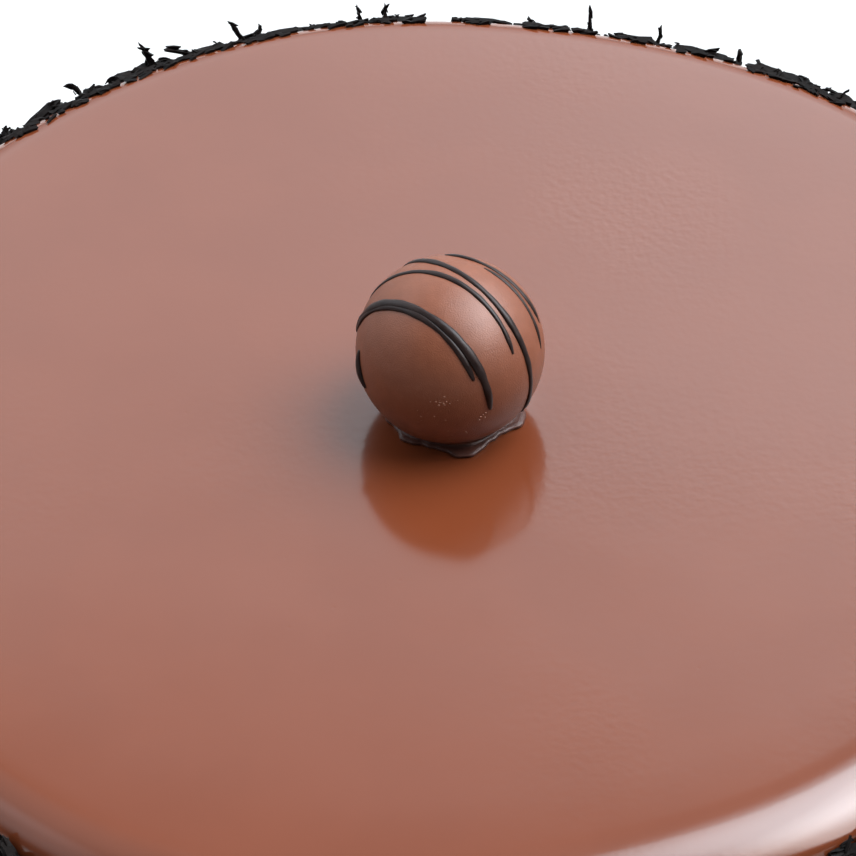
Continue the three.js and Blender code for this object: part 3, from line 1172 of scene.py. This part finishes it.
    def strewn(self, kind: Strewing) -> ShavingBatch:
        """Small shavings strewn evenly over the wall.

        Args:
            kind: Their number, sizes and lie.

        Returns:
            The shavings.
        """
        rng = np.random.default_rng(kind.seed)
        columns = int(round(math.sqrt(kind.count * 2 * math.pi * self.form.radius / kind.top)))
        rows = kind.count // columns
        cell = np.arange(rows * columns)
        azimuth = 360 * (cell % columns + rng.uniform(0, 1, len(cell))) / columns
        rise = (cell // columns + rng.uniform(0, 1, len(cell))) / rows
        long = rng.uniform(*kind.length, len(cell))
        wide = long * rng.uniform(*kind.slimness, len(cell))
        turn = np.radians(rng.uniform(-90, 90, len(cell)))
        out = np.radians(rng.uniform(*kind.lean, len(cell)))
        base = self.form.wall(azimuth) + rng.uniform(*kind.proud, len(cell))
        reach = (long * np.abs(np.sin(turn)) + wide * np.cos(turn)) / 2
        waves = sum(np.sin(np.radians(lie * azimuth + swing)) for lie, swing in self.TOP_WAVES)
        highest = kind.top + self.top_raggedness * waves - reach
        height = np.clip(rise * kind.top, reach + self.foot_gap, highest)
        middle = around(azimuth, base, height)
        side = np.where(rng.uniform(0, 1, len(cell)) < 0.5, 90.0, -90.0)
        level = around(azimuth + side, 1.0, 0.0)
        up = np.array((0.0, 0.0, 1.0))
        half = (long / 2)[:, None] * (level * np.cos(turn)[:, None] + up * np.sin(turn)[:, None])
        away = around(azimuth, 1.0, 0.0) * (long * np.sin(out))[:, None]
        return ShavingBatch(
            foot=middle - half,
            tip=middle + half + away,
            width=wide,
            thickness=rng.uniform(*kind.thickness, len(cell)),
            tip_share=rng.uniform(0.35, 1.0, len(cell)),
            skew=rng.uniform(-0.7, 0.7, len(cell)),
        )

    def lapping(self) -> list[tuple]:
        """Splinters that lap over the icing's rounded edge in front of each edge shaving.

        Returns:
            One row for ShavingBatch.joined for each.
        """
        rng = np.random.default_rng(self.lap_seed)
        rows = []
        for band in self.LAP_BANDS:
            for foot, tip, _, _, _, _ in self.edge_row():
                ends = [math.degrees(math.atan2(point[1], point[0])) for point in (foot, tip)]
                if min(ends) < self.lap_span[0] or max(ends) > self.lap_span[1]:
                    continue
                upright = math.dist(foot[:2], tip[:2]) < abs(tip[2] - foot[2])
                for _ in range(band.upright_count if upright else band.count):
                    azimuth = rng.uniform(min(ends) - band.past, max(ends) + band.past)
                    rows.append(self.lap(rng, azimuth, math.radians(rng.uniform(*band.tilt))))
        return rows

    def lap(self, rng: np.random.Generator, azimuth: float, tilt: float) -> tuple:
        """One splinter that lies on the icing's rounded edge.

        Args:
            rng: Draws its size and lie.
            azimuth: Where it lies round the cake, in degrees.
            tilt: How far down the rounded edge it lies, in radians.

        Returns:
            One row for ShavingBatch.joined.
        """
        spans = (self.lap_length, self.lap_width, self.lap_thickness)
        long, wide, thick = (rng.uniform(*span) for span in spans)
        across = around(azimuth + 90, 1.0, rng.uniform(-0.25, 0.25))
        level = unit(across + around(azimuth, rng.uniform(-0.45, 0.45), 0.0))
        reach = self.form.radius - self.form.shoulder * (1 - math.sin(tilt))
        height = self.form.height - self.form.shoulder * (1 - math.cos(tilt))
        reach = reach * float(self.form.roundness(np.array(azimuth))) - self.lap_sunk
        middle = around(azimuth, reach, height)
        return (middle - level * long / 2, middle + level * long / 2, wide, thick, 0.6, 0.4)

    def clinging(self) -> ShavingBatch:
        """Splinters that lap over the edge or cling round each large shaving of the edge row.

        Returns:
            The splinters.
        """
        rng = np.random.default_rng(self.cling_seed)
        rows = self.lapping()
        for foot, tip, width, thickness, _, _ in self.edge_row():
            along = tip - foot
            for _ in range(self.cling_count):
                share = rng.uniform(-0.1, 1.05)
                middle = foot + along * share
                middle[2] += rng.uniform(-1.0, 0.7) * width
                out = unit(middle * (1.0, 1.0, 0.0))
                middle = middle + out * rng.uniform(-0.1, 0.9) * thickness
                length = rng.uniform(*self.cling_length)
                swing = rng.uniform(-0.7, 0.7, 3)
                way = unit(unit(along) * rng.choice((-1.0, 1.0)) + swing * (1.0, 1.0, 0.9))
                rise = rng.uniform(*self.cling_thickness)
                wide = length * rng.uniform(*self.cling_slimness)
                half = way * length / 2
                rows.append((middle - half, middle + half, wide, rise, 0.5, 0.5))
        return ShavingBatch.joined(rows)

    def batch(self, kind: ShavingKind) -> ShavingBatch:
        """All the shavings of one kind.

        Args:
            kind: The kind.

        Returns:
            The shavings.
        """
        if kind is ShavingKind.LARGE:
            return self.large()
        if kind is ShavingKind.SPLINTER:
            return self.clinging()
        return self.strewn(self.CHIPS if kind is ShavingKind.CHIP else self.SLIVERS)

    def cutter(self, kind: ShavingKind) -> Cutter:
        """The cutter for one kind, which is the same for slivers and splinters."""
        special = {ShavingKind.LARGE: self.LARGE_CUTTER, ShavingKind.CHIP: self.CHIP_CUTTER}
        return special.get(kind, self.FINE_CUTTER)

    def build(self) -> list[bpy.types.Object]:
        """Makes one piece for each kind.

        Returns:
            The pieces.
        """
        finish = SHAVING.make()
        pieces = []
        for kind in ShavingKind:
            piece = self.cutter(kind).cut(f"shavings_{kind.value}", self.batch(kind))
            piece.data.materials.append(finish)
            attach(piece, "root")
            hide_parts("cake")
            pieces.append(piece)
        return pieces


# ------------------------------------------------------------------ the truffle


@dataclass(frozen=True)
class TruffleForm:
    """The truffle's shape and place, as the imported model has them."""

    rest: float
    radius: float = 14.25 * MM
    centre_height: float = 11.83 * MM
    place: tuple[float, float] = (-0.7 * MM, 0.4 * MM)
    foot_radius: float = 9.75 * MM
    foot_thickness: float = 0.8 * MM
    waist_angle: float = -48.0
    foot_lobes: tuple[tuple[float, float, float], ...] = (
        (342, 2.0, 20),
        (288, 1.7, 13),
        (272, 1.3, 10),
        (226, 0.8, 14),
        (172, 1.6, 22),
        (108, 1.2, 24),
        (48, 1.7, 18),
    )

    @property
    def centre(self) -> Vector:
        """The ball's middle."""
        return Vector((*self.place, self.rest + self.centre_height))

    def foot_reach(self, azimuth: np.ndarray) -> np.ndarray:
        """How far the coating ran out past the plain foot.

        Args:
            azimuth: Degrees from +X.

        Returns:
            The reach in metres.
        """
        reach = np.zeros_like(azimuth)
        for middle, amount, spread in self.foot_lobes:
            away = (azimuth - middle + 180) % 360 - 180
            reach = reach + amount * MM * np.exp(-((away / spread) ** 2))
        return reach


@dataclass(frozen=True)
class TruffleBall:
    """The coated ball with its flat underside and its wavy foot."""

    form: TruffleForm
    segments: int = 224
    ball_steps: int = 84
    unevenness: float = 0.06 * MM
    scallop: float = 0.16 * MM
    foot_fade: tuple[float, float] = (0.55, 1.35)
    run_out_fade: tuple[float, float] = (2.0 * MM, 9.0 * MM)
    ball_fade: tuple[float, float] = (2.0 * MM, 7.0 * MM)
    crown_fade: tuple[float, float] = (0.0, 6.0 * MM)

    def profile(self) -> np.ndarray:
        """The plain profile, from the underside's middle up.

        Returns:
            Rows of distance from the truffle's axis and height over the icing.
        """
        form = self.form
        edge, thick = form.foot_radius, form.foot_thickness
        foot = [
            (0.0, 0.0),
            (0.5 * edge, 0.0),
            (edge - 0.55 * thick, 0.0),
            (edge - 0.12 * thick, 0.12 * thick),
            (edge, 0.38 * thick),
            (edge - 0.14 * thick, 0.66 * thick),
            (edge - 0.5 * thick, 0.86 * thick),
            (edge - 0.8 * thick, 1.02 * thick),
        ]
        ball = arc((0.0, form.centre_height), form.radius, form.waist_angle, 90, self.ball_steps)
        return np.vstack((foot, ball))

    def shape(
        self, azimuth: np.ndarray, distance: np.ndarray, height: np.ndarray
    ) -> tuple[np.ndarray, np.ndarray]:
        """Runs the foot out and makes the ball slightly uneven.

        Args:
            azimuth: Degrees from +X.
            distance: Metres from the truffle's axis.
            height: Metres above the icing.

        Returns:
            The new distances and heights.
        """
        form = self.form
        turn = np.radians(azimuth)
        low = 1 - smooth(height, *(share * form.foot_thickness for share in self.foot_fade))
        scallops = self.scallop * (np.sin(13 * turn + 0.7) + 0.6 * np.sin(29 * turn + 2.0))
        reach = (form.foot_reach(azimuth) + scallops) * low * smooth(distance, *self.run_out_fade)
        lat = height / form.radius
        bumps = np.sin(3 * turn + 2.5 * lat) * np.sin(2.2 * lat + 0.8)
        bumps += 0.5 * np.sin(5 * turn - 4 * lat)
        on_ball = smooth(height, *self.ball_fade) * smooth(distance, *self.crown_fade)
        return distance + reach + self.unevenness * bumps * on_ball, height

    def build(self) -> bpy.types.Object:
        """Makes the ball and hides the plain truffle that it stands for.

        Returns:
            The ball.
        """
        piece = turned_piece("truffle_ball", self.profile(), self.segments, self.shape)
        piece.data.transform(Matrix.Translation((*self.form.place, self.form.rest)))
        piece.data.materials.append(COATING.make())
        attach(piece, "root")
        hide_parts("truffle")
        return piece


@dataclass(frozen=True)
class Strand:
    """One drizzled strand. It lies in an upright plane that may swing as it goes."""

    offset: tuple[float, float, float]
    sweep: tuple[float, float]
    half_width: float


@dataclass(frozen=True)
class Drizzle:
    """Dark chocolate trailed over the truffle in straight lines."""

    form: TruffleForm
    normal: float = 51.0
    bead_height: float = 0.66
    sunk: float = 0.3 * MM
    step: float = 1.6
    sides: int = 14
    tip_length: float = 15.0
    tip_share: float = 0.3
    unevenness: float = 0.12
    wrap: float = 112.0
    undercut: float = 0.9
    seed: int = 300

    WAVES = (5.0, 11.0, 23.0)

    # The plane's offset as a share of the ball's radius at the back end, the middle and the
    # front end, the sweep in degrees from the crown, and the half width.
    STRANDS = (
        Strand((-0.5, -0.478, -0.458), (-79, 92), 0.7 * MM),
        Strand((-0.535, -0.522, -0.55), (-74, 64), 0.5 * MM),
        Strand((-0.9, -0.84, -0.77), (-106, -70), 0.9 * MM),
        Strand((-0.25, 0.005, -0.055), (-62, 63), 0.45 * MM),
        Strand((0.2, 0.122, 0.095), (-50, 119), 0.52 * MM),
        Strand((0.42, 0.568, 0.605), (-24, 66), 0.5 * MM),
        Strand((0.45, 0.497, 0.415), (8, 78), 0.4 * MM),
    )

    def lay(self, strand: Strand, index: int) -> np.ndarray:
        """The rings of one strand.

        Args:
            strand: The strand.
            index: Its number, which seeds its unevenness.

        Returns:
            The points, ring by ring.
        """
        rng = np.random.default_rng(self.seed + index)
        low, high = strand.sweep
        count = int(round((high - low) / self.step)) + 1
        t = np.linspace(0, 1, count)
        start, middle, end = strand.offset
        d = start * (1 - t) * (1 - 2 * t) + 4 * middle * t * (1 - t) + end * t * (2 * t - 1)
        angle = np.radians(low + (high - low) * t)
        rest = np.sqrt(1 - d * d)
        normal = around(self.normal, 1.0, 0.0)
        forward = around(self.normal - 90, 1.0, 0.0)
        up = d[:, None] * normal + (rest * np.sin(angle))[:, None] * forward
        up[:, 2] += rest * np.cos(angle)
        side = unit(np.cross(np.gradient(up, axis=0), up))
        from_end = np.minimum(t, 1 - t) * (high - low)
        full = np.sqrt(smooth(from_end, -1.0, self.tip_length))
        taper = self.tip_share + (1 - self.tip_share) * full
        waves = sum(
            np.sin(np.radians(rate * (low + (high - low) * t)) + rng.uniform(0, 6.28)) / (k + 1)
            for k, rate in enumerate(self.WAVES)
        )
        half = strand.half_width * taper * (1 + self.unevenness * waves)
        turn = np.radians(np.linspace(-self.wrap, self.wrap, self.sides))
        below = np.cos(turn) < 0
        across = half[:, None] * np.sin(turn) * np.where(below, self.undercut, 1.0)
        rise = half[:, None] * self.bead_height * np.maximum(np.cos(turn), 0.0)
        rise = rise - np.where(below, self.sunk, 0.0)
        points = up[:, None, :] * (self.form.radius + rise)[..., None]
        points = points + side[:, None, :] * across[..., None]
        return points + np.array(self.form.centre)

    def build(self) -> bpy.types.Object:
        """Makes all the strands as one piece.

        Returns:
            The drizzle.
        """
        points, faces = [], []
        for index, strand in enumerate(self.STRANDS):
            rings = self.lay(strand, index)
            first = sum(len(p) for p in points)
            faces += [tuple(first + i for i in face) for face in skin_faces(len(rings), self.sides)]
            points.append(rings.reshape(-1, 3))
        piece = new_piece("drizzle", np.vstack(points), faces)
        piece.data.materials.append(DRIZZLE.make())
        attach(piece, "root")
        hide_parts("truffle")
        return piece


@dataclass(frozen=True)
class Flecks:
    """Tiny pale lumps, lighter than the coating, gathered on the front of the truffle."""

    form: TruffleForm
    count: int = 44
    sides: int = 7
    seed: int = 11
    size: tuple[float, float] = (0.05 * MM, 0.15 * MM)
    unevenness: tuple[float, float] = (0.7, 1.3)
    stretch: float = 1.3
    height_share: float = 0.6

    # Where they gather: latitude, azimuth, spread in degrees, and share of them.
    CLUSTERS = (
        (9.0, 263.0, 3.0, 0.3),
        (-6.0, 254.0, 5.0, 0.35),
        (-6.0, 287.0, 2.5, 0.15),
        (-22.0, 271.0, 8.0, 0.2),
    )

    # The level of each ring of a crumb, and its radius, both as a share of the crumb's size.
    RINGS = ((-0.48, 0.9), (0.06, 1.0), (0.33, 0.75), (0.48, 0.3))

    def build(self) -> bpy.types.Object:
        """Makes all the crumbs as one piece.

        Returns:
            The crumbs.
        """
        rng = np.random.default_rng(self.seed)
        points, faces = [], []
        one = skin_faces(len(self.RINGS), self.sides)
        swing = np.arange(self.sides) * 2 * math.pi / self.sides
        for latitude, azimuth, spread, part in self.CLUSTERS:
            for _ in range(round(self.count * part)):
                tilt = latitude + spread * rng.normal() * self.height_share
                up = towards(azimuth + spread * rng.normal(), tilt)
                turn = np.array(up.to_track_quat("Z", "Y").to_matrix()).T
                size = rng.uniform(*self.size)
                first = sum(len(p) for p in points)
                for level, share in self.RINGS:
                    reach = size * share * rng.uniform(*self.unevenness, self.sides)
                    height = np.full(self.sides, size * level)
                    long = reach * np.cos(swing) * self.stretch
                    ring = np.column_stack((long, reach * np.sin(swing), height))
                    points.append(ring @ turn + np.array(up) * self.form.radius)
                faces += [tuple(first + i for i in face) for face in one]
        points = np.vstack(points) + np.array(self.form.centre)
        piece = new_piece("truffle_flecks", points, faces)
        piece.data.materials.append(FLECK.make())
        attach(piece, "root")
        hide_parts("truffle")
        return piece


# ------------------------------------------------------------------ the studio


@dataclass(frozen=True)
class Softbox:
    """A square-cornered soft light that faces the middle of the cake and only adds sheen."""

    name: str
    azimuth: float
    elevation: float
    distance: float
    width: float
    height: float
    radiance: float

    def build(self, target: Vector) -> None:
        """Hangs the light.

        Args:
            target: The point that it faces.
        """
        lamp = bpy.data.lights.new(self.name, "AREA")
        lamp.shape = "RECTANGLE"
        lamp.size, lamp.size_y = self.width, self.height
        lamp.energy = self.radiance * math.pi * self.width * self.height
        back = towards(self.azimuth, self.elevation)
        light = bpy.data.objects.new(self.name, lamp)
        light.location = target + back * self.distance
        light.rotation_euler = back.to_track_quat("Z", "Y").to_euler()
        light.visible_diffuse = False
        bpy.context.scene.collection.objects.link(light)


@dataclass(frozen=True)
class Glow:
    """A soft round patch of light on the surroundings, which fades from inner to outer degrees."""

    azimuth: float
    elevation: float
    inner: float
    outer: float
    radiance: float

    def wire(self, wiring: Wiring, direction: bpy.types.NodeSocket) -> bpy.types.NodeSocket:
        """Adds its nodes.

        Args:
            wiring: The surroundings' nodes.
            direction: The direction that is looked in.

        Returns:
            Its radiance in that direction.
        """
        along = wiring.add("ShaderNodeVectorMath", operation="DOT_PRODUCT")
        wiring.join(direction, along.inputs[0])
        along.inputs[1].default_value = towards(self.azimuth, self.elevation)
        edge = (math.cos(math.radians(self.outer)), math.cos(math.radians(self.inner)))
        return wiring.remap(along.outputs["Value"], edge, (0.0, self.radiance))


@dataclass(frozen=True)
class Studio:
    """The pale floor, the soft lights and the camera."""

    floor_radius: float = 6.0
    floor_corners: int = 96
    floor_roughness: float = 0.8
    floor_colour: Colour = rgb(0.44, 0.4, 0.38)
    ambient: float = 0.13
    daylight: Colour = rgb(0.88, 1.0, 1.08)
    backdrop: float = 3.0
    backdrop_top: tuple[float, float] = (42.3, 51.0)
    backdrop_tilt: float = 0.05
    backdrop_rise: tuple[float, float] = (0.0, 0.6)
    backdrop_foot: float = 0.15
    backdrop_width: tuple[float, float] = (-0.3, 0.12)
    backdrop_sides: tuple[float, float] = (0.92, 0.98)
    backdrop_depth: tuple[float, float] = (0.0, 0.3)
    camera_distance: float = 712 * MM
    camera_elevation: float = 43.0
    focal_px: float = 4676.0
    image_px: float = 856.0
    aim_px: tuple[float, float] = (28.8, -18.1)
    roll: float = -1.6
    sensor: float = 36.0

    # The window, the left, the upper left, the back and the upper back.
    GLOWS = (
        Glow(14.0, 56.0, 6.0, 33.0, 14.7),
        Glow(-166.0, 32.0, 4.0, 26.0, 1.3),
        Glow(152.0, 54.0, 6.0, 40.0, 1.2),
        Glow(78.0, 36.0, 4.0, 13.0, 1.2),
        Glow(72.0, 58.0, 5.0, 21.0, 1.0),
    )
    SOFTBOXES = (
        Softbox("wide_softbox", -8.0, 44.0, 1.5, 1.5, 1.1, 2.9),
        Softbox("middle_softbox", -12.0, 42.0, 1.51, 1.2, 0.95, 3.0),
        Softbox("narrow_softbox", -16.0, 40.0, 1.52, 0.9, 0.75, 3.1),
    )

    def lay_floor(self) -> None:
        """Lays the floor, which is no part of the cake."""
        turn = np.arange(self.floor_corners) * 360 / self.floor_corners
        points = around(turn, self.floor_radius, 0.0)
        floor = new_piece("floor", points, [tuple(range(self.floor_corners))])
        material = bpy.data.materials.new("pale_floor")
        material.use_nodes = True
        shader = material.node_tree.nodes["Principled BSDF"]
        shader.inputs["Base Color"].default_value = self.floor_colour
        shader.inputs["Roughness"].default_value = self.floor_roughness
        floor.data.materials.append(material)

    def light_surroundings(self) -> None:
        """Lights the surroundings: a dim room, a pale backdrop and soft patches of light."""
        world = bpy.data.worlds.new("studio")
        world.use_nodes = True
        bpy.context.scene.world = world
        wiring = Wiring(world.node_tree)
        wiring.tree.nodes.clear()
        direction = wiring.add("ShaderNodeTexCoord").outputs["Generated"]
        split = wiring.add("ShaderNodeSeparateXYZ")
        wiring.join(direction, split.inputs["Vector"])
        top = tuple(math.sin(math.radians(angle)) for angle in self.backdrop_top)
        sideways, depth, up = (split.outputs[axis] for axis in "XYZ")
        tilt = wiring.maths("MULTIPLY", sideways, self.backdrop_tilt)
        low = wiring.remap(wiring.maths("SUBTRACT", up, tilt), top, (1.0, 0.0))
        high = wiring.remap(up, self.backdrop_rise, (self.backdrop_foot, 1.0))
        right = wiring.remap(sideways, self.backdrop_width, self.backdrop_sides)
        behind = wiring.remap(depth, self.backdrop_depth, (0.0, 1.0))
        strength = wiring.maths("MULTIPLY", low, self.backdrop)
        for share in (high, right, behind):
            strength = wiring.maths("MULTIPLY", strength, share)
        strength = wiring.maths("ADD", strength, self.ambient)
        for patch in self.GLOWS:
            strength = wiring.maths("ADD", strength, patch.wire(wiring, direction))
        background = wiring.add("ShaderNodeBackground")
        background.inputs["Color"].default_value = self.daylight
        wiring.join(strength, background.inputs["Strength"])
        output = wiring.add("ShaderNodeOutputWorld")
        wiring.join(background.outputs["Background"], output.inputs["Surface"])

    def place_camera(self, target: Vector) -> None:
        """Sets up the camera.

        Args:
            target: The middle of the icing's top.
        """
        rise = math.radians(self.camera_elevation)
        right = Vector((1.0, 0.0, 0.0))
        up = Vector((0.0, math.sin(rise), math.cos(rise)))
        back = Vector((0.0, -math.cos(rise), math.sin(rise)))
        swing, tip = (math.atan2(px, self.focal_px) for px in self.aim_px)
        ahead = -back * math.cos(swing) - right * math.sin(swing)
        right = right * math.cos(swing) - back * math.sin(swing)
        ahead, up = (
            ahead * math.cos(tip) + up * math.sin(tip),
            up * math.cos(tip) - ahead * math.sin(tip),
        )
        roll = math.radians(self.roll)
        right, up = (
            right * math.cos(roll) + up * math.sin(roll),
            up * math.cos(roll) - right * math.sin(roll),
        )
        turn = Matrix((right, up, -ahead)).transposed().to_4x4()
        lens = bpy.data.cameras.new("camera")
        lens.sensor_width = self.sensor
        lens.lens = self.focal_px / self.image_px * self.sensor
        camera = bpy.data.objects.new("camera", lens)
        camera.matrix_world = Matrix.Translation(target + back * self.camera_distance) @ turn
        bpy.context.scene.collection.objects.link(camera)
        bpy.context.scene.camera = camera

    def build(self, target: Vector) -> None:
        """Sets up the whole studio.

        Args:
            target: The middle of the icing's top.
        """
        bpy.context.scene.view_settings.view_transform = "Standard"
        self.lay_floor()
        self.light_surroundings()
        for softbox in self.SOFTBOXES:
            softbox.build(target)
        self.place_camera(target)


# ------------------------------------------------------------------ assembly


def main() -> None:
    """Builds the studio and every piece, and logs each piece's face count."""
    logging.basicConfig(level=logging.INFO, format="%(message)s")
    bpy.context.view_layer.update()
    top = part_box("cake")[1].z
    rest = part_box("truffle")[0].z
    cake = CakeForm(height=top)
    truffle = TruffleForm(rest=rest)
    Studio().build(Vector((0.0, 0.0, top)))
    pieces = [
        Icing(cake, truffle.place).build(),
        *Shavings(cake).build(),
        TruffleBall(truffle).build(),
        Drizzle(truffle).build(),
        Flecks(truffle).build(),
    ]
    for piece in pieces:
        LOG.info("%s: %d faces", piece.name, len(piece.data.polygons))


if __name__ == "__main__":
    main()
